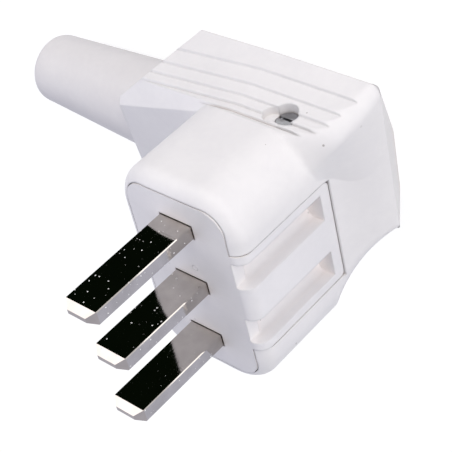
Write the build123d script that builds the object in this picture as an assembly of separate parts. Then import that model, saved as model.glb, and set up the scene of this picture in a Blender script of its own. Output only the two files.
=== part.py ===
from build123d import *
import math
import os

os.makedirs("parts", exist_ok=True)

# Cooker plug with three flat blades, in millimetres.
# The plug stands on its flat back at Z = 0 with the blades pointing up.
# The blades are in a row along Y, the earth blade at +Y, and the cable sleeve
# leaves to -X. Depths are measured down from the face of the plug.

body_depth = 45.5

# Blades
pin_spacing = 15.0
blade_width = 8.3
blade_thick = 3.2
blade_length = 25.2
earth_extra = 2.7
tip_bevel = 1.6
tip_flat = 1.1
tip_corner = 1.7
edge_break = 0.18
slot_gap = 0.2

# Front block of the cover
block_half_x = 16.0
block_half_y = 25.5
block_depth = body_depth - 21.5
block_corner = 10.5
face_round = 3.7
wall = 2.4
opening_half_x = block_half_x - 3.0
opening_half_y = block_half_y - 3.1
opening_corner = 5.4
seam = 0.15
stop_ledge = 0.7

# Flared hood with the grip
rim_depth = body_depth - 7.0
rim_half_x = block_half_x + 6.5
rim_low = block_half_y - 18.6
rim_high = block_half_y + 4.5
back_high = rim_high - 10.0
grip_plate = 11.0
grip_left_front = 30.5
grip_left_rear = 25.8
grip_bend_x = -4.0
grip_fall = 0.1
rib_depth = 0.6
rib_places = (block_depth - 1.6, block_depth, block_depth + 1.6, block_depth + 3.8,
              block_depth + 6.6, block_depth + 10.3)
rib_ends = (rim_half_x - 3.4, rim_half_x - 2.2, rim_half_x - 1.6, rim_half_x - 1.3, rim_half_x - 1.2)

# Neck
neck_reach = 38.4
neck_low = 3.5
neck_high = 17.0
neck_ridge = 15.1
neck_front = block_depth - 0.8
neck_slope = 0.85

# Carrier and its keying grooves
plate_thick = 3.0
panel_half_y = 12.8
panel_depth = block_depth + 2.6
panel_inner_x = block_half_x - 6.3
panel_round = 1.2
front_corner = 2.8
groove_y = 7.5
groove_height = 6.5
groove_cut = 4.2
groove_end = panel_depth - 2.7
groove_round = 1.9

# Terminals
terminal_half_x = 5.0
terminal_half_y = 4.0
shoulder_depth = 9.0
terminal_depth = 13.0
terminal_neck_x = 3.6
saddle_thick = 1.2
terminal_screw_radius = 1.7
terminal_head_radius = 3.2
terminal_head = 2.0

# Retainer and cord clamp
retainer_thick = 2.0
retainer_half_x = 8.5
small_screw_radius = 1.5
small_head_radius = 2.7
small_head = 1.6
clamp_x = -7.0
clamp_spread = 8.2
clamp_bar = 2.0
clamp_half_width = 4.0
clamp_post_radius = 2.7

# Cable sleeve
sleeve_y = 6.8
sleeve_depth = body_depth - 11.0
sleeve_root_radius = 10.1
sleeve_tip_radius = 8.0
sleeve_reach = 35.6
sleeve_round = 2.6
sleeve_bore = 4.9
sleeve_waist = 7.0
sleeve_flange = 7.7
sleeve_flange_thick = 2.0

# Cover screw and its nut
cover_screw_x = 8.0
cover_screw_depth = block_depth + 3.0
well_radius = 2.6
well_floor = block_half_y - 2.2
arm_half_x = 4.5
arm_top = well_floor - 1.7
arm_bottom = arm_top - 5.8
cover_screw_radius = 1.5
cover_head_radius = 2.3
cover_head = 1.5
nut_across = 5.5
nut_thick = 2.4

clear = 0.1


def at(depth):
    """Height of a depth below the face."""
    return body_depth - depth


def section(z, corners):
    """Closed face at height z. Corners are (x, y, radius) in order."""
    points = [Vector(x, y, z) for x, y, r in corners]
    count = len(points)
    ends = []
    for i in range(count):
        before = (points[i - 1] - points[i]).normalized()
        after = (points[(i + 1) % count] - points[i]).normalized()
        half = math.radians(before.get_angle(after) / 2.0)
        radius = corners[i][2]
        reach = radius / math.tan(half)
        middle = points[i] + (before + after).normalized() * (radius / math.sin(half) - radius)
        ends.append((points[i] + before * reach, middle, points[i] + after * reach))
    edges = []
    for i in range(count):
        start, middle, finish = ends[i]
        edges.append(ThreePointArc(start, middle, finish))
        edges.append(Line(finish, ends[(i + 1) % count][0]))
    return Face(Wire(edges))


def bounds_section(z, half_x, low, high, low_round, high_round):
    """Rounded rectangle at height z, even about X = 0."""
    return section(z, [
        (half_x, high, high_round),
        (-half_x, high, high_round),
        (-half_x, low, low_round),
        (half_x, low, low_round),
    ])


def box(x0, x1, y0, y1, z0, z1):
    """Block between two corners."""
    middle = ((x0 + x1) / 2.0, (y0 + y1) / 2.0, (z0 + z1) / 2.0)
    return Pos(*middle) * Box(x1 - x0, y1 - y0, z1 - z0)


def rod_z(radius, x, y, z0, z1):
    """Round bar along Z."""
    return Pos(x, y, (z0 + z1) / 2.0) * Cylinder(radius, z1 - z0)


def rod_y(radius, x, z, y0, y1):
    """Round bar along Y."""
    return Pos(x, (y0 + y1) / 2.0, z) * Rot(90, 0, 0) * Cylinder(radius, y1 - y0)


def rod_x(radius, y, z, x0, x1):
    """Round bar along X."""
    return Pos((x0 + x1) / 2.0, y, z) * Rot(0, 90, 0) * Cylinder(radius, x1 - x0)


def keep_below(body, point, normal):
    """Part of the body on the far side of a plane from its normal."""
    return split(body, bisect_by=Plane(origin=point, z_dir=normal), keep=Keep.BOTTOM)


grip_slope = (rim_high - block_half_y) / (rim_depth - block_depth)


def flare(inset):
    """Hood that grows out of the block and ends in the flat back."""
    rows = [
        (block_depth, block_half_x, -block_half_y, block_half_y, block_corner, block_corner),
        (block_depth + 4.5, block_half_x + 0.9, 6.7 - block_half_y, block_half_y + 1.0, 8.0, 8.5),
        (block_depth + 9.0, block_half_x + 3.4, 13.9 - block_half_y, block_half_y + 2.4, 4.5, 6.0),
        (rim_depth, rim_half_x, -rim_low, rim_high, 1.5, 2.4),
    ]
    faces = []
    for depth, half_x, low, high, low_round, high_round in rows:
        faces.append(bounds_section(
            at(depth), half_x - inset, low + inset, high - inset,
            max(low_round - inset, 0.6), max(high_round - inset, 0.6)))
    front = loft(faces)
    rim = section(at(rim_depth), [
        (rim_half_x - inset, rim_high - inset, 0.9),
        (-rim_half_x + inset, rim_high - inset, 0.9),
        (-rim_half_x + inset, -rim_low + inset, 0.9),
        (rim_half_x - inset, -rim_low + inset, 0.9),
    ])
    rear = section(inset, [
        (rim_half_x - 3.9 - inset, back_high - inset, 8.0 - inset),
        (-rim_half_x + inset, back_high - inset, 1.5),
        (-rim_half_x + inset, -rim_low + 3.0 + inset, 1.5),
        (rim_half_x - 4.5 - inset, -rim_low + 3.0 + inset, 1.5),
    ])
    body = front + loft([rim, rear], ruled=True)
    drop = inset * math.hypot(1.0, grip_slope)
    return keep_below(body, (grip_bend_x, block_half_y - drop, at(block_depth)), (-grip_fall, 1, grip_slope))


def under_grip(body, inset):
    """Trim to the sloping grip and to the slope that runs down to the neck."""
    drop = inset * math.hypot(1.0, grip_slope)
    body = keep_below(body, (0, block_half_y - drop, at(block_depth)), (0, 1, grip_slope))
    body = keep_below(body, (grip_bend_x, block_half_y - drop, at(block_depth)), (-grip_fall, 1, grip_slope))
    drop = inset * math.hypot(1.0, neck_slope)
    return keep_below(body, (-neck_reach, neck_high - drop, 0), (-neck_slope, 1, 0))


def front_slopes(body, inset):
    """Ridge across the front of the neck, sloping back above it and a little below it."""
    ridge = Vector(25.2, 7.0, 0.0)
    start = (-neck_reach, neck_ridge - inset, at(neck_front + inset))
    body = keep_below(body, start, tuple(ridge.cross(Vector(0.0, 5.0, -2.1))))
    return keep_below(body, start, tuple(ridge.cross(Vector(0.0, 5.0, 0.5))))


def shoulder(inset):
    """Grip side that grows out of the rounded edge of the block."""
    rows = [
        (block_depth - 2.6, block_half_x - 0.3, 0.1, 10.2, block_half_x - 1.0, 12.6),
        (block_depth, rim_half_x - 4.0, 0.0, 5.6, block_half_x - 0.4, 12.6),
        (block_depth + 1.8, rim_half_x - 2.0, 0.0, 4.2, block_half_x - 0.2, 12.6),
        (block_depth + 4.5, rim_half_x - 1.0, 0.0, 3.8, block_half_x + 0.6, 14.5),
        (block_depth + 9.0, rim_half_x - 0.4, 0.0, 3.7, block_half_x + 3.1, 18.0),
        (rim_depth - 1.7, rim_half_x - 0.1, 0.0, 3.2, rim_half_x - 1.2, 20.0),
        (rim_depth, rim_half_x, 0.0, 2.2, rim_half_x - 0.3, 21.0),
    ]
    faces = []
    for depth, right, sink, top_round, low_right, tall in rows:
        top = block_half_y + max(depth - block_depth, 0.0) * grip_slope - sink
        low = block_half_y - tall
        faces.append(section(at(depth), [
            (right - inset, top - inset, max(top_round - inset, 0.6)),
            (grip_bend_x, top - inset, 0.6),
            (grip_bend_x, low, 0.6),
            (low_right - inset, low, 0.6),
        ]))
    return loft(faces)


def hood_plate(inset):
    """Left part of the plate under the grip, which joins the neck."""
    low = block_half_y - grip_plate + inset
    front = section(at(block_depth + inset), [
        (0.0, rim_high + 2.0, 0.6),
        (-grip_left_front + inset, rim_high + 2.0, 0.6),
        (-grip_left_front + inset, low, 0.6),
        (0.0, low, 0.6),
    ])
    rear = section(at(rim_depth), [
        (0.0, rim_high + 2.0, 0.6),
        (-grip_left_rear + inset, rim_high + 2.0, 0.6),
        (-grip_left_rear + inset, low, 0.6),
        (0.0, low, 0.6),
    ])
    return front_slopes(under_grip(loft([front, rear], ruled=True), inset), inset)


def neck(inset):
    """Neck that carries the sleeve."""
    outline = Face(Wire.make_polygon([
        Vector(-neck_reach + inset, -neck_low + inset, inset),
        Vector(-neck_reach + inset, rim_high, inset),
        Vector(0, rim_high, inset),
        Vector(0, -neck_low - 0.4 + inset, inset),
    ], close=True))
    body = extrude(outline, amount=at(neck_front + inset) - inset, dir=(0, 0, 1))
    body = front_slopes(under_grip(body, inset), inset)
    # Back of the neck leans in towards the grip
    return keep_below(body, (0, back_high - inset, inset), (0, at(rim_depth), back_high - rim_high))


def cover_body(inset):
    """Whole outline of the cover drawn in by the inset."""
    block = extrude(
        bounds_section(at(block_depth), block_half_x - inset, -block_half_y + inset,
                       block_half_y - inset, block_corner - inset, block_corner - inset),
        amount=block_depth, dir=(0, 0, 1))
    if inset == 0:
        block = fillet(block.edges().filter_by_position(Axis.Z, body_depth - 0.01, body_depth + 0.01),
                       face_round)
    return block + flare(inset) + shoulder(inset) + hood_plate(inset) + neck(inset)


# Cover
outside = cover_body(0.0)
inside = cover_body(wall)
inside = keep_below(inside, (0, 0, at(wall)), (0, 0, 1))
opening = extrude(
    bounds_section(at(wall + 1.0), opening_half_x, -opening_half_y, opening_half_y,
                   opening_corner, opening_corner),
    amount=wall + 2.0, dir=(0, 0, 1))
window_y = panel_half_y + seam
window = box(panel_inner_x, block_half_x + 8.0, -window_y, window_y,
             at(panel_depth + seam), body_depth + 1.0)
cover = outside - inside - opening - window

# Stops behind the carrier plate
stop_z = at(plate_thick)
stop_foot = at(block_depth - 2.0)
stop_y = opening_half_y - stop_ledge
for stop_x in (-8.0, 4.0):
    cover += box(stop_x - 2.0, stop_x + 2.0, -block_half_y + 1.0, -stop_y, stop_foot, stop_z)
cover += box(-10.0, -6.0, stop_y, block_half_y - 1.0, stop_foot, stop_z)

# Boss for the cover screw, with the double well sunk in the grip
screw_z = at(cover_screw_depth)
boss = rod_y(well_radius + 2.0, cover_screw_x, screw_z, arm_top, well_floor + 3.0)
boss &= outside
cover += boss
cover -= rod_y(well_radius, cover_screw_x, screw_z, well_floor, rim_high + 4.0)
cover -= rod_y(well_radius * 0.7, cover_screw_x - 3.1, screw_z + 1.0, well_floor + 1.2, rim_high + 4.0)
cover -= rod_y(cover_screw_radius + clear, cover_screw_x, screw_z, arm_top - 1.0, well_floor + 1.0)

# Posts for the cord clamp and a rib that the cord lies on
cord_z = at(sleeve_depth)
clamp_seat = cord_z + sleeve_bore - 0.9
for side in (-1, 1):
    post_y = sleeve_y + side * clamp_spread
    post = rod_z(clamp_post_radius, clamp_x, post_y, wall * 0.5, clamp_seat)
    cover += post & outside
    cover -= rod_z(small_screw_radius, clamp_x, post_y, clamp_seat - 7.0, clamp_seat + 1.0)
cover += box(clamp_x - 2.0, clamp_x + 2.0, sleeve_y - clamp_spread, sleeve_y + clamp_spread,
             wall * 0.5, cord_z - sleeve_bore)

# Hole for the waist of the sleeve
cover -= rod_x(sleeve_waist + clear, sleeve_y, cord_z, -neck_reach - 1.0, -neck_reach + wall + 1.0)

# Steps of the grip, each falling away to the foot of the next
for before, depth, right_end in zip(rib_places, rib_places[1:], rib_ends):
    high = block_half_y + grip_slope * (depth - block_depth)
    start = max(before + 0.4, block_depth - 0.9)
    low = block_half_y + grip_slope * (start - block_depth)
    wedge = Face(Wire.make_polygon([
        Vector(grip_bend_x, low, at(start)),
        Vector(grip_bend_x, low + 1.5, at(start)),
        Vector(grip_bend_x, high + 1.5, at(depth)),
        Vector(grip_bend_x, high - rib_depth, at(depth)),
    ], close=True))
    cover -= extrude(wedge, amount=right_end - grip_bend_x, dir=(1, 0, 0))
    cover -= extrude(wedge, amount=grip_left_front, dir=(-1, -grip_fall, 0))

# Carrier
plate = extrude(
    bounds_section(at(plate_thick), opening_half_x - seam, -opening_half_y + seam,
                   opening_half_y - seam, opening_corner - seam, opening_corner - seam),
    amount=plate_thick, dir=(0, 0, 1))
panel_x = block_half_x - clear
panel = box(panel_inner_x, panel_x, -panel_half_y, panel_half_y, at(panel_depth), body_depth)
panel = fillet(panel.edges().filter_by(Axis.Y).filter_by_position(
    Axis.X, panel_x - 0.01, panel_x + 0.01).group_by(Axis.Z)[-1], front_corner)
panel = fillet(panel.edges().filter_by(Axis.X).group_by(Axis.Z)[0], panel_round)
groove_floor = panel_x - groove_cut
for side in (-1, 1):
    middle = side * groove_y
    cutter = box(groove_floor, panel_x + 5.0, middle - groove_height / 2.0,
                 middle + groove_height / 2.0, at(groove_end), body_depth + 5.0)
    cutter = fillet(cutter.edges().filter_by(Axis.Z).filter_by_position(
        Axis.X, groove_floor - 0.01, groove_floor + 0.01), groove_round)
    panel -= cutter
carrier = plate + panel
# Arm that reaches under the cover screw
arm_x0 = cover_screw_x - arm_half_x
arm_x1 = cover_screw_x + arm_half_x
arm = box(arm_x0, arm_x1, arm_bottom, arm_top - seam, at(block_depth), at(plate_thick - 0.5))
arm += box(arm_x0, arm_x1, arm_bottom, arm_top, at(cover_screw_depth + arm_half_x), at(block_depth - 1.0))
arm_room = extrude(
    bounds_section(at(cover_screw_depth + arm_half_x + 1.0), opening_half_x - seam, 0.0, arm_top,
                   1.0, block_corner - wall - seam),
    amount=cover_screw_depth + arm_half_x, dir=(0, 0, 1))
carrier += arm & arm_room
carrier += box(arm_x0, opening_half_x - 1.2, panel_half_y - 3.0, arm_bottom + 1.0,
               at(plate_thick + 3.0), at(plate_thick - 0.5))
carrier -= rod_y(cover_screw_radius + clear, cover_screw_x, screw_z, arm_bottom - 1.0, arm_top + 1.0)
nut_cut = extrude(
    Plane(origin=(cover_screw_x, arm_bottom, screw_z), x_dir=(1, 0, 0), z_dir=(0, 1, 0))
    * RegularPolygon((nut_across + 2.0 * clear) / math.sqrt(3.0), 6), amount=nut_thick)
carrier -= nut_cut
# Bosses for the retainer
for side in (-1, 1):
    carrier += rod_z(3.0, 0, side * pin_spacing / 2.0, at(shoulder_depth), at(plate_thick - 0.5))
    carrier -= rod_z(small_screw_radius, 0, side * pin_spacing / 2.0,
                     at(shoulder_depth + 1.0), at(plate_thick + 0.2))
# Slots for the blades
pin_rows = [
    ("earth", pin_spacing, blade_length + earth_extra),
    ("line", 0.0, blade_length),
    ("neutral", -pin_spacing, blade_length),
]
for label, y, length in pin_rows:
    carrier -= box(-blade_width / 2.0 - slot_gap, blade_width / 2.0 + slot_gap,
                   y - blade_thick / 2.0 - slot_gap, y + blade_thick / 2.0 + slot_gap,
                   at(plate_thick + 2.0), body_depth + 1.0)
    carrier -= box(-terminal_half_x - clear, terminal_half_x + clear,
                   y - terminal_half_y - clear, y + terminal_half_y + clear,
                   at(terminal_depth), at(plate_thick))

pieces = {}
pieces["cover"] = cover
pieces["pin_carrier"] = carrier

# Blades with their terminals
for label, y, length in pin_rows:
    tip = body_depth + length
    base = at(plate_thick + 1.0)
    wide = blade_width / 2.0
    thick = blade_thick / 2.0
    side_view = Face(Wire.make_polygon([
        Vector(-wide, y - thick, base),
        Vector(-wide, y - thick, tip - tip_bevel),
        Vector(-wide, y - tip_flat / 2.0, tip),
        Vector(-wide, y + tip_flat / 2.0, tip),
        Vector(-wide, y + thick, tip - tip_bevel),
        Vector(-wide, y + thick, base),
    ], close=True))
    front_view = Face(Wire.make_polygon([
        Vector(-wide, y - thick, base),
        Vector(-wide, y - thick, tip - tip_corner),
        Vector(-wide + tip_corner, y - thick, tip),
        Vector(wide - tip_corner, y - thick, tip),
        Vector(wide, y - thick, tip - tip_corner),
        Vector(wide, y - thick, base),
    ], close=True))
    blade = extrude(side_view, amount=blade_width, dir=(1, 0, 0))
    blade &= extrude(front_view, amount=blade_thick, dir=(0, 1, 0))
    blade &= Pos(0, y, (base + tip) / 2.0) * chamfer(
        Box(blade_width, blade_thick, tip - base + 2.0).edges().filter_by(Axis.Z), edge_break)
    block = box(-terminal_half_x, terminal_half_x, y - terminal_half_y, y + terminal_half_y,
                at(shoulder_depth), at(plate_thick))
    neck_block = box(-terminal_neck_x, terminal_neck_x, y - terminal_half_y, y + terminal_half_y,
                     at(terminal_depth), at(shoulder_depth) + 0.5)
    pin = blade + block + neck_block
    pin -= rod_z(terminal_screw_radius, 0, y, at(terminal_depth) - 1.0, at(plate_thick + 4.0))
    pieces["pin_" + label] = pin
    saddle_top = at(terminal_depth)
    saddle = box(-terminal_neck_x + 0.3, terminal_neck_x - 0.3, y - terminal_half_y + 0.3,
                 y + terminal_half_y - 0.3, saddle_top - saddle_thick, saddle_top)
    saddle -= rod_z(terminal_screw_radius + clear, 0, y, saddle_top - 5.0, saddle_top + 1.0)
    pieces["clamp_saddle_" + label] = saddle
    head_top = saddle_top - saddle_thick
    screw = rod_z(terminal_screw_radius, 0, y, head_top - 0.5, saddle_top + 4.5)
    head = rod_z(terminal_head_radius, 0, y, head_top - terminal_head, head_top)
    head -= box(-5.0, 5.0, y - 0.45, y + 0.45, head_top - terminal_head - 1.0,
                head_top - terminal_head + 0.9)
    pieces["terminal_screw_" + label] = head + screw

# Retainer over the terminal shoulders
retainer_z = at(shoulder_depth)
retainer_half_y = min(pin_spacing + terminal_half_y + 1.1, opening_half_y - 1.0)
retainer = box(-retainer_half_x, retainer_half_x, -retainer_half_y, retainer_half_y,
               retainer_z - retainer_thick, retainer_z)
retainer -= box(arm_x0 - 0.4, 30.0, arm_bottom - 0.4, 50.0, -10.0, 80.0)
for label, y, length in pin_rows:
    retainer -= box(-terminal_neck_x - clear, terminal_neck_x + clear, y - terminal_half_y - clear,
                    y + terminal_half_y + clear, retainer_z - retainer_thick - 1.0, retainer_z + 1.0)
for number, side in ((1, -1), (2, 1)):
    y = side * pin_spacing / 2.0
    retainer -= rod_z(small_screw_radius + clear, 0, y, retainer_z - 5.0, retainer_z + 1.0)
    under = retainer_z - retainer_thick
    head = rod_z(small_head_radius, 0, y, under - small_head, under)
    head -= box(-4.0, 4.0, y - 0.35, y + 0.35, under - small_head - 1.0, under - small_head + 0.7)
    pieces["retainer_screw_" + str(number)] = head + rod_z(small_screw_radius, 0, y, under - 0.3,
                                                          retainer_z + 4.5)
pieces["pin_retainer"] = retainer

# Cord clamp
bar = box(clamp_x - clamp_half_width, clamp_x + clamp_half_width,
          sleeve_y - clamp_spread - 3.2, sleeve_y + clamp_spread + 3.2,
          clamp_seat, clamp_seat + clamp_bar)
bar = fillet(bar.edges().filter_by(Axis.Z), 1.8)
for number, side in ((1, -1), (2, 1)):
    y = sleeve_y + side * clamp_spread
    bar -= rod_z(small_screw_radius + clear, clamp_x, y, clamp_seat - 1.0, clamp_seat + 5.0)
    over = clamp_seat + clamp_bar
    head = rod_z(small_head_radius, clamp_x, y, over, over + small_head)
    head -= box(clamp_x - 4.0, clamp_x + 4.0, y - 0.35, y + 0.35, over + small_head - 0.7,
                over + small_head + 1.0)
    pieces["cord_clamp_screw_" + str(number)] = head + rod_z(small_screw_radius, clamp_x, y,
                                                            clamp_seat - 6.0, over + 0.3)
pieces["cord_clamp"] = bar

# Cable sleeve
root_x = -neck_reach
sleeve_length = sleeve_reach
sleeve = Pos(root_x - sleeve_reach / 2.0, sleeve_y, cord_z) * Rot(0, 90, 0) * Cone(
    sleeve_tip_radius, sleeve_root_radius, sleeve_length)
tip_edge = sleeve.edges().filter_by(GeomType.CIRCLE).sort_by(Axis.X)[0]
sleeve = fillet(tip_edge, sleeve_round)
sleeve += rod_x(sleeve_waist, sleeve_y, cord_z, root_x - 1.0, root_x + wall)
sleeve += rod_x(sleeve_flange, sleeve_y, cord_z, root_x + wall, root_x + wall + sleeve_flange_thick)
sleeve -= rod_x(sleeve_bore, sleeve_y, cord_z, (root_x - sleeve_reach) - 1.0, root_x + wall + sleeve_flange_thick + 1.0)
pieces["cable_sleeve"] = sleeve

# Cover screw and nut
head = rod_y(cover_head_radius, cover_screw_x, screw_z, well_floor, well_floor + cover_head)
head -= box(cover_screw_x - 3.0, cover_screw_x + 3.0, well_floor + cover_head - 0.7,
            well_floor + cover_head + 1.0, screw_z - 0.35, screw_z + 0.35)
shank = rod_y(cover_screw_radius, cover_screw_x, screw_z, arm_bottom - 0.5, well_floor + 0.3)
pieces["cover_screw"] = head + shank
nut = extrude(
    Plane(origin=(cover_screw_x, arm_bottom, screw_z), x_dir=(1, 0, 0), z_dir=(0, 1, 0))
    * RegularPolygon(nut_across / math.sqrt(3.0), 6), amount=nut_thick)
nut -= rod_y(cover_screw_radius, cover_screw_x, screw_z, arm_bottom - 1.0, arm_bottom + nut_thick + 1.0)
pieces["cover_nut"] = nut

for name, piece in pieces.items():
    solids = piece.solids()
    main = max(solids, key=lambda s: s.volume)
    piece = main if len(solids) == 1 else Compound(solids)
    print(name, len(solids), round(piece.volume, 1), piece.bounding_box())
    export_step(piece, "parts/" + name + ".step")
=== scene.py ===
import math
import bmesh
import bpy
from mathutils import Matrix, Vector


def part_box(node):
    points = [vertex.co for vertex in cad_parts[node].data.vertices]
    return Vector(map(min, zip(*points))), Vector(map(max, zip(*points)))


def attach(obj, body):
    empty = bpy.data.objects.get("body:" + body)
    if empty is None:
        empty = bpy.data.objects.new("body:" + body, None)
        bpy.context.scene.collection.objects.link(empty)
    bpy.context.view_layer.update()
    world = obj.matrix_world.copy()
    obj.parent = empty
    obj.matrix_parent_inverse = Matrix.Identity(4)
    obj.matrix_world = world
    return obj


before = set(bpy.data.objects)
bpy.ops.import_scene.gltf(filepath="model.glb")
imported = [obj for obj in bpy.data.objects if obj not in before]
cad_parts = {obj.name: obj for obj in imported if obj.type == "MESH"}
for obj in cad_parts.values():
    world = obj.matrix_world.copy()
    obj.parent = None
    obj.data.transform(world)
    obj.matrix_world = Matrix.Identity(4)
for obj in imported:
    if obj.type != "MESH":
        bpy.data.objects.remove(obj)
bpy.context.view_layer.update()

MM = 0.001
FULL = 1.0
WHITE = (1.0, 1.0, 1.0)

# Shader helpers


def node(tree, kind, x, y, **values):
    """New shader node at a place in the editor, with some of its inputs set."""
    made = tree.nodes.new(kind)
    made.location = (x, y)
    for name, value in values.items():
        made.inputs[name.replace("_", " ")].default_value = value
    return made


def combine(tree, operation, first, second, x, y):
    """Math node on a socket and a second socket or number."""
    made = tree.nodes.new("ShaderNodeMath")
    made.operation = operation
    made.location = (x, y)
    tree.links.new(first, made.inputs[0])
    if isinstance(second, float):
        made.inputs[1].default_value = second
    else:
        tree.links.new(second, made.inputs[1])
    return made.outputs["Value"]


def mix_colour(tree, factor, first, second, x, y, blend="MIX"):
    """Colour mix whose factor and two colours are each a socket or fixed."""
    made = tree.nodes.new("ShaderNodeMix")
    made.data_type = "RGBA"
    made.blend_type = blend
    made.location = (x, y)
    for socket, value in ((made.inputs[0], factor), (made.inputs[6], first), (made.inputs[7], second)):
        if isinstance(value, bpy.types.NodeSocket):
            tree.links.new(value, socket)
        else:
            socket.default_value = value
    return made.outputs[2]


def ramp(tree, value, low, high, dark, light, x, y):
    """Colour ramp from dark to light between two positions."""
    made = node(tree, "ShaderNodeValToRGB", x, y)
    made.color_ramp.elements[0].position = low
    made.color_ramp.elements[0].color = (*dark, 1.0)
    made.color_ramp.elements[1].position = high
    made.color_ramp.elements[1].color = (*light, 1.0)
    tree.links.new(value, made.inputs["Fac"])
    return made.outputs["Color"]


def spread(tree, value, low, high, x, y):
    """Maps a value from 0 to 1 onto a range."""
    made = node(tree, "ShaderNodeMapRange", x, y, To_Min=low, To_Max=high)
    tree.links.new(value, made.inputs["Value"])
    return made.outputs["Result"]


def noise(tree, place, size, detail, x, y):
    """Noise whose features are about so large, in metres."""
    made = node(tree, "ShaderNodeTexNoise", x, y, Scale=1.0 / size, Detail=detail)
    tree.links.new(place, made.inputs["Vector"])
    return made.outputs["Fac"]


def specks(tree, place, cell, radius, share, x, y):
    """Mask of small round spots in a share of the cells of a scatter."""
    cells = node(tree, "ShaderNodeTexVoronoi", x, y, Scale=1.0 / cell)
    tree.links.new(place, cells.inputs["Vector"])
    colour = node(tree, "ShaderNodeSeparateColor", x + 200, y - 100)
    tree.links.new(cells.outputs["Color"], colour.inputs["Color"])
    size = combine(tree, "MULTIPLY", colour.outputs["Green"], radius / cell, x + 400, y - 200)
    chosen = combine(tree, "LESS_THAN", colour.outputs["Red"], share, x + 400, y - 50)
    near = combine(tree, "LESS_THAN", cells.outputs["Distance"], size, x + 600, y)
    spots = combine(tree, "MULTIPLY", chosen, near, x + 800, y)
    return combine(tree, "MULTIPLY", spots, colour.outputs["Blue"], x + 1000, y)


def new_material(name):
    """Material with its node tree, its shader and the object's own coordinates."""
    mat = bpy.data.materials.new(name)
    mat.use_nodes = True
    tree = mat.node_tree
    place = node(tree, "ShaderNodeTexCoord", -1800, 0).outputs["Object"]
    return mat, tree, tree.nodes["Principled BSDF"], place


# Plastics

OCCLUSION_SAMPLES = 8
EDGE_SAMPLES = 6
BLEND_SAMPLES = 12
TONE_SIZE = 14.0 * MM
MOTTLE_SIZE = 1.6 * MM
TONE_SHARE = 0.7
MOTTLE_SHARE = 0.3
TONE_RANGE = (0.38, 0.62)
ROUGH_CHANGE = 0.05
RELIEF_DEPTH = 0.1 * MM
RELIEF_STRENGTH = 0.10
PLASTIC_SHINE = 0.3
COAT_ROUGH = 0.15
# Painted shade: seams and narrow gaps are darkened in the colour wherever ambient occlusion is low
SEAM_SHADE_REACH = 0.7 * MM
SEAM_SHADE_RANGE = (0.08, 0.42)
SEAM_PAINTED_SHADE = (0.16, 0.14, 0.13)
HOLLOW_REACH = 5.0 * MM
DIRT_CELL = 3.0 * MM
DIRT_RADIUS = 0.32 * MM
DIRT = (0.30, 0.27, 0.25, 1.0)


def crevices(tree, reach, x, y):
    """1 in the open, and towards 0 where surfaces within reach close a place in."""
    made = node(tree, "ShaderNodeAmbientOcclusion", x, y, Distance=reach)
    made.samples = OCCLUSION_SAMPLES
    return made.outputs["AO"]


def plastic(name, dark, light, rough, edge, coat, grain, dirt_share, hollow_painted_shading, hollow_range):
    """Moulded plastic: uneven tint, painted light and shade in hollows, soft edges, painted shade in seams
    and specks of dirt.
    """
    mat, tree, shader, place = new_material(name)
    broad = noise(tree, place, TONE_SIZE, detail=4.0, x=-1400, y=300)
    mottle = noise(tree, place, MOTTLE_SIZE, detail=3.0, x=-1400, y=0)
    skin = noise(tree, place, grain, detail=2.0, x=-1400, y=-300)
    tone = combine(tree, "ADD", combine(tree, "MULTIPLY", broad, TONE_SHARE, -1200, 300),
                   combine(tree, "MULTIPLY", mottle, MOTTLE_SHARE, -1200, 100), -1000, 200)
    colour = ramp(tree, tone, *TONE_RANGE, dark, light, -800, 300)
    # Painted light and shade in hollows: the colour is multiplied by a warm tint where ambient occlusion is
    # low
    hollow = crevices(tree, HOLLOW_REACH, -800, 900)
    hollow_shading = ramp(tree, hollow, *hollow_range, hollow_painted_shading, WHITE, -600, 900)
    colour = mix_colour(tree, FULL, colour, hollow_shading, -500, 500, "MULTIPLY")
    spots = specks(tree, place, DIRT_CELL, DIRT_RADIUS, dirt_share, -1800, -700)
    colour = mix_colour(tree, spots, colour, DIRT, -450, 300)
    # Painted shade, darkening the colour in seams and narrow gaps
    narrow = crevices(tree, SEAM_SHADE_REACH, -800, 600)
    seam_painted_shade = ramp(tree, narrow, *SEAM_SHADE_RANGE, SEAM_PAINTED_SHADE, WHITE, -600, 600)
    colour = mix_colour(tree, FULL, colour, seam_painted_shade, -250, 400, "MULTIPLY")
    tree.links.new(colour, shader.inputs["Base Color"])
    uneven = spread(tree, mottle, rough - ROUGH_CHANGE, rough + ROUGH_CHANGE, -600, 0)
    tree.links.new(uneven, shader.inputs["Roughness"])
    rounded = node(tree, "ShaderNodeBevel", -600, -500, Radius=edge)
    rounded.name = "rounded"
    rounded.samples = EDGE_SAMPLES
    relief = node(tree, "ShaderNodeBump", -350, -300, Strength=RELIEF_STRENGTH, Distance=RELIEF_DEPTH)
    tree.links.new(skin, relief.inputs["Height"])
    tree.links.new(rounded.outputs["Normal"], relief.inputs["Normal"])
    tree.links.new(relief.outputs["Normal"], shader.inputs["Normal"])
    shader.inputs["Specular IOR Level"].default_value = PLASTIC_SHINE
    shader.inputs["Coat Weight"].default_value = coat
    shader.inputs["Coat Roughness"].default_value = COAT_ROUGH
    return mat


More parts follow.
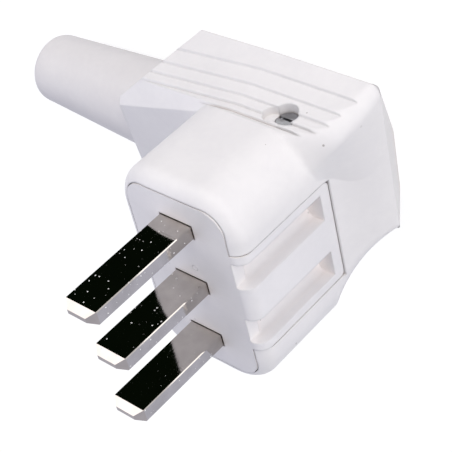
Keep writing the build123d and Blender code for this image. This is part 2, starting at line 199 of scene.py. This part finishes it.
def widen_edge(mat, edge, place, reach, radius):
    """Rounds a plastic's edges by a larger radius near a place, down to the usual one at its reach."""
    tree = mat.node_tree
    here = node(tree, "ShaderNodeTexCoord", -1600, -600).outputs["Object"]
    measure = tree.nodes.new("ShaderNodeVectorMath")
    measure.operation = "DISTANCE"
    measure.location = (-1400, -600)
    measure.inputs[1].default_value = place
    tree.links.new(here, measure.inputs[0])
    width = node(tree, "ShaderNodeMapRange", -1200, -600, From_Max=reach, To_Min=radius, To_Max=edge)
    tree.links.new(measure.outputs["Value"], width.inputs["Value"])
    rounded = tree.nodes["rounded"]
    tree.links.new(width.outputs["Result"], rounded.inputs["Radius"])
    rounded.samples = BLEND_SAMPLES


COVER_EDGE = 0.55 * MM
BLEND_PLACE = (14.0 * MM, 23.0 * MM, 24.0 * MM)
BLEND_REACH = 9.0 * MM
BLEND_RADIUS = 2.2 * MM

# Painted warm shade in the hollows of the cover, sleeve and inner parts; painted warm light in the carrier's
# grooves, whose hollow tint is above 1
cover_plastic = plastic(
    "white_plastic", dark=(0.775, 0.765, 0.765), light=(0.81, 0.80, 0.795), rough=0.44,
    edge=COVER_EDGE, coat=0.03, grain=0.35 * MM, dirt_share=0.16,
    hollow_painted_shading=(0.98, 0.93, 0.90), hollow_range=(0.1, 0.5))
carrier_plastic = plastic(
    "carrier_plastic", dark=(0.765, 0.757, 0.765), light=(0.80, 0.79, 0.795), rough=0.44,
    edge=0.45 * MM, coat=0.03, grain=0.30 * MM, dirt_share=0.12,
    hollow_painted_shading=(1.20, 1.145, 1.10), hollow_range=(0.25, 0.9))
sleeve_plastic = plastic(
    "sleeve_plastic", dark=(0.70, 0.685, 0.685), light=(0.735, 0.72, 0.715), rough=0.50,
    edge=0.30 * MM, coat=0.0, grain=0.5 * MM, dirt_share=0.10,
    hollow_painted_shading=(1.0, 0.98, 0.97), hollow_range=(0.1, 0.5))
inner_plastic = plastic(
    "inner_plastic", dark=(0.62, 0.60, 0.56), light=(0.70, 0.68, 0.63), rough=0.55,
    edge=0.15 * MM, coat=0.0, grain=0.3 * MM, dirt_share=0.10,
    hollow_painted_shading=(1.0, 0.98, 0.97), hollow_range=(0.1, 0.5))
# The block's corner runs out softly into the shoulder
widen_edge(cover_plastic, COVER_EDGE, BLEND_PLACE, BLEND_REACH, BLEND_RADIUS)

# Metals

CLOUD_SIZE = 3.0 * MM
CLOUD_RANGE = (0.35, 0.65)
SCRATCH_SIZE = 0.25 * MM
SCRATCH_DEPTH = 0.02 * MM
SCRATCH_STRETCH = 0.12
DUST_CELL = 0.8 * MM
DUST_RADIUS = 0.19 * MM
DUST_ROUGH = 0.7
DUST = (0.85, 0.86, 0.84, 1.0)


def metal(name, dark, light, rough, change, scratch, dust_share):
    """Plated or turned metal: uneven tone, fine scratches and specks of dust."""
    mat, tree, shader, place = new_material(name)
    cloud = noise(tree, place, CLOUD_SIZE, detail=4.0, x=-1400, y=300)
    colour = ramp(tree, cloud, *CLOUD_RANGE, dark, light, -1000, 300)
    drawn = node(tree, "ShaderNodeMapping", -1600, -300, Scale=(1.0, 1.0, SCRATCH_STRETCH))
    tree.links.new(place, drawn.inputs["Vector"])
    lines = noise(tree, drawn.outputs["Vector"], SCRATCH_SIZE, detail=3.0, x=-1400, y=-300)
    dust = specks(tree, place, DUST_CELL, DUST_RADIUS, dust_share, -1800, -700)
    colour = mix_colour(tree, dust, colour, DUST, -500, 300)
    tree.links.new(colour, shader.inputs["Base Color"])
    tree.links.new(spread(tree, dust, 1.0, 0.0, -400, 100), shader.inputs["Metallic"])
    worn = spread(tree, cloud, rough - change, rough + change, -800, 0)
    dusty = combine(tree, "MAXIMUM", worn, combine(tree, "MULTIPLY", dust, DUST_ROUGH, -600, -200), -400, -50)
    tree.links.new(dusty, shader.inputs["Roughness"])
    relief = node(tree, "ShaderNodeBump", -350, -300, Strength=scratch, Distance=SCRATCH_DEPTH)
    tree.links.new(lines, relief.inputs["Height"])
    tree.links.new(relief.outputs["Normal"], shader.inputs["Normal"])
    return mat


blade_metal = metal("blade_metal", dark=(0.45, 0.42, 0.39), light=(0.51, 0.475, 0.445),
                    rough=0.055, change=0.02, scratch=0.25, dust_share=0.38)
brass = metal("brass", dark=(0.62, 0.42, 0.16), light=(0.78, 0.56, 0.26),
              rough=0.28, change=0.08, scratch=0.5, dust_share=0.05)
steel = metal("steel", dark=(0.24, 0.24, 0.25), light=(0.42, 0.42, 0.43),
              rough=0.14, change=0.05, scratch=0.6, dust_share=0.05)

# Finish of each piece, steel where it isn't named

finishes = {
    "cover": cover_plastic,
    "pin_carrier": carrier_plastic,
    "cable_sleeve": sleeve_plastic,
    "pin_retainer": inner_plastic,
    "cord_clamp": inner_plastic,
}
for pole in ("earth", "line", "neutral"):
    finishes["pin_" + pole] = blade_metal
    finishes["terminal_screw_" + pole] = brass
    finishes["clamp_saddle_" + pole] = brass
for name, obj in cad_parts.items():
    finish = finishes.get(name, steel)
    if not obj.material_slots:
        obj.data.materials.append(finish)
    for slot in obj.material_slots:
        slot.material = finish

# Ring that an ejector pin leaves on the face between two blades

MARK_X = 1.9 * MM
MARK_Y = 4.6 * MM
MARK_RADIUS = 0.7 * MM
MARK_WIDTH = 0.1 * MM
MARK_HEIGHT = 0.06 * MM
RING_STEPS = 40
ROUND_STEPS = 5


def ejector_mark(name, place, radius, width, height):
    """Low rounded ring moulded on the face, as a closed mesh whose foot is sunk in."""
    profile = []
    for index in range(ROUND_STEPS + 1):
        angle = math.pi * index / ROUND_STEPS
        profile.append((radius + width * math.cos(angle), height * math.sin(angle)))
    profile.append((radius - width, -height))
    profile.append((radius + width, -height))
    mesh = bmesh.new()
    rings = []
    for index in range(RING_STEPS):
        angle = 2.0 * math.pi * index / RING_STEPS
        way = Vector((math.cos(angle), math.sin(angle), 0.0))
        rings.append([mesh.verts.new(place + way * out + Vector((0.0, 0.0, high))) for out, high in profile])
    for index in range(RING_STEPS):
        here = rings[index]
        after = rings[(index + 1) % RING_STEPS]
        for corner in range(len(profile)):
            other = (corner + 1) % len(profile)
            mesh.faces.new((here[corner], after[corner], after[other], here[other]))
    bmesh.ops.recalc_face_normals(mesh, faces=mesh.faces)
    data = bpy.data.meshes.new(name)
    mesh.to_mesh(data)
    mesh.free()
    data.materials.append(carrier_plastic)
    made = bpy.data.objects.new(name, data)
    bpy.context.scene.collection.objects.link(made)
    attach(made, "root")


face_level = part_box("pin_carrier")[1][2]
ejector_mark("ejector_mark", Vector((MARK_X, MARK_Y, face_level)), MARK_RADIUS, MARK_WIDTH, MARK_HEIGHT)

# Floor, with the plug's shadow weakened where it is looked at

FLOOR_WIDTH = 4.0
FLOOR_GLOW = 1.29
FLOOR_MATT = (0.66, 0.66, 0.68, 1.0)
SHADOW_SHARE = 0.3


def is_seen(tree, x, y):
    """1 where the camera or a mirror looks, and 0 where light is gathered."""
    path = node(tree, "ShaderNodeLightPath", x, y)
    direct = combine(tree, "ADD", path.outputs["Is Camera Ray"], path.outputs["Is Glossy Ray"], x + 200, y)
    return combine(tree, "ADD", direct, path.outputs["Is Transmission Ray"], x + 400, y)


def plane(name, place, width, mat):
    """Flat square of the studio, level, at a place."""
    bpy.ops.mesh.primitive_plane_add(size=1.0, location=place)
    made = bpy.context.object
    made.name = name
    made.scale = (width, width, 1.0)
    made.data.materials.append(mat)
    return made


def shader_only(name):
    """Material without its first shader, with its tree and the socket of its output."""
    mat = bpy.data.materials.new(name)
    mat.use_nodes = True
    tree = mat.node_tree
    tree.nodes.remove(tree.nodes["Principled BSDF"])
    return mat, tree, tree.nodes["Material Output"].inputs["Surface"]


floor_mat, tree, surface = shader_only("floor")
white = node(tree, "ShaderNodeEmission", -400, 150, Color=(*WHITE, 1.0), Strength=FLOOR_GLOW)
matt = node(tree, "ShaderNodeBsdfDiffuse", -400, -100, Color=FLOOR_MATT)
share = spread(tree, is_seen(tree, -900, 300), 0.0, 1.0 - SHADOW_SHARE, -400, 350)
mix = node(tree, "ShaderNodeMixShader", -100, 0)
tree.links.new(share, mix.inputs["Fac"])
tree.links.new(matt.outputs["BSDF"], mix.inputs[1])
tree.links.new(white.outputs["Emission"], mix.inputs[2])
tree.links.new(mix.outputs["Shader"], surface)
plane("floor", (0.0, 0.0, 0.0), FLOOR_WIDTH, floor_mat)

# Cards that the blades mirror, just above the floor

CARD_LEVEL = 2.0 * MM


def card(name, x, y, width, colour, glow):
    """Card that only the mirroring surfaces show."""
    mat, tree, surface = shader_only(name)
    glowing = node(tree, "ShaderNodeEmission", -200, 0, Color=(*colour, 1.0), Strength=glow)
    tree.links.new(glowing.outputs["Emission"], surface)
    made = plane(name, (x, y, CARD_LEVEL), width, mat)
    made.visible_camera = False
    made.visible_diffuse = False
    made.visible_shadow = False


card("dark_card", x=-0.105, y=0.125, width=0.16, colour=(0.003, 0.006, 0.0023), glow=1.0)
card("lilac_card", x=0.09, y=-0.095, width=0.15, colour=(0.76, 0.79, 0.94), glow=1.0)
card("glint_card", x=0.085, y=0.075, width=0.055, colour=WHITE, glow=2.4)

# World: a soft fill, what the metal mirrors and the white that the camera sees

FILL = (0.80, 0.81, 0.92, 1.0)
FILL_STRENGTH = 0.40
MIRRORED = (0.88, 0.88, 1.0, 1.0)
MIRRORED_STRENGTH = 0.8

world = bpy.data.worlds.new("studio")
bpy.context.scene.world = world
world.use_nodes = True
tree = world.node_tree
fill = tree.nodes["Background"]
fill.inputs["Color"].default_value = FILL
fill.inputs["Strength"].default_value = FILL_STRENGTH
path = node(tree, "ShaderNodeLightPath", -600, 300)
mirrored = node(tree, "ShaderNodeBackground", -200, -100, Color=MIRRORED, Strength=MIRRORED_STRENGTH)
plain = node(tree, "ShaderNodeBackground", -200, -300, Color=(*WHITE, 1.0), Strength=1.0)
glossy_mix = node(tree, "ShaderNodeMixShader", 100, 100)
tree.links.new(path.outputs["Is Glossy Ray"], glossy_mix.inputs["Fac"])
tree.links.new(fill.outputs["Background"], glossy_mix.inputs[1])
tree.links.new(mirrored.outputs["Background"], glossy_mix.inputs[2])
camera_mix = node(tree, "ShaderNodeMixShader", 300, 0)
tree.links.new(path.outputs["Is Camera Ray"], camera_mix.inputs["Fac"])
tree.links.new(glossy_mix.outputs["Shader"], camera_mix.inputs[1])
tree.links.new(plain.outputs["Background"], camera_mix.inputs[2])
tree.links.new(camera_mix.outputs["Shader"], tree.nodes["World Output"].inputs["Surface"])

# Softboxes

AIM = Vector((0.0, 0.0, 0.03))


def lamp(name, place, width, height, power, colour):
    """Softbox at a place, aimed at the plug."""
    data = bpy.data.lights.new(name, "AREA")
    data.shape = "RECTANGLE"
    data.size = width
    data.size_y = height
    data.energy = power
    data.color = colour
    made = bpy.data.objects.new(name, data)
    bpy.context.scene.collection.objects.link(made)
    made.location = place
    made.rotation_euler = (AIM - Vector(place)).to_track_quat("-Z", "Y").to_euler()


lamp("key", (0.22, 0.78, 0.21), width=1.0, height=0.4, power=3.55, colour=(1.0, 0.957, 0.915))
lamp("rear", (-0.47, 0.56, 0.40), width=0.52, height=0.52, power=1.4, colour=(1.0, 0.97, 0.94))
lamp("side", (0.77, 0.12, 0.21), width=0.9, height=0.4, power=3.25, colour=(1.0, 0.985, 0.985))
lamp("top", (-0.50, -0.15, 0.80), width=0.7, height=0.7, power=2.8, colour=(0.84, 0.85, 1.0))

# Camera at the photo's place, with its focal length in pixels of the photo

PHOTO_WIDTH = 452.0
FOCAL_LENGTH = 1411.1077
SENSOR_WIDTH = 36.0
CLIP_NEAR = 0.01
CLIP_FAR = 20.0
CAMERA_PLACE = Vector((166.713, 189.86, 171.765)) * MM
CAMERA_RIGHT = Vector((0.742646, -0.190114, -0.642132))
CAMERA_UP = Vector((-0.324015, 0.73715, -0.592979))
CAMERA_BACK = Vector((0.586082, 0.648433, 0.485842))

camera_data = bpy.data.cameras.new("camera")
camera = bpy.data.objects.new("camera", camera_data)
bpy.context.scene.collection.objects.link(camera)
turn = Matrix((CAMERA_RIGHT, CAMERA_UP, CAMERA_BACK)).transposed().to_4x4()
camera.matrix_world = Matrix.Translation(CAMERA_PLACE) @ turn
camera_data.sensor_width = SENSOR_WIDTH
camera_data.lens = FOCAL_LENGTH / PHOTO_WIDTH * SENSOR_WIDTH
camera_data.clip_start = CLIP_NEAR
camera_data.clip_end = CLIP_FAR
bpy.context.scene.camera = camera
bpy.context.scene.view_settings.view_transform = "Standard"
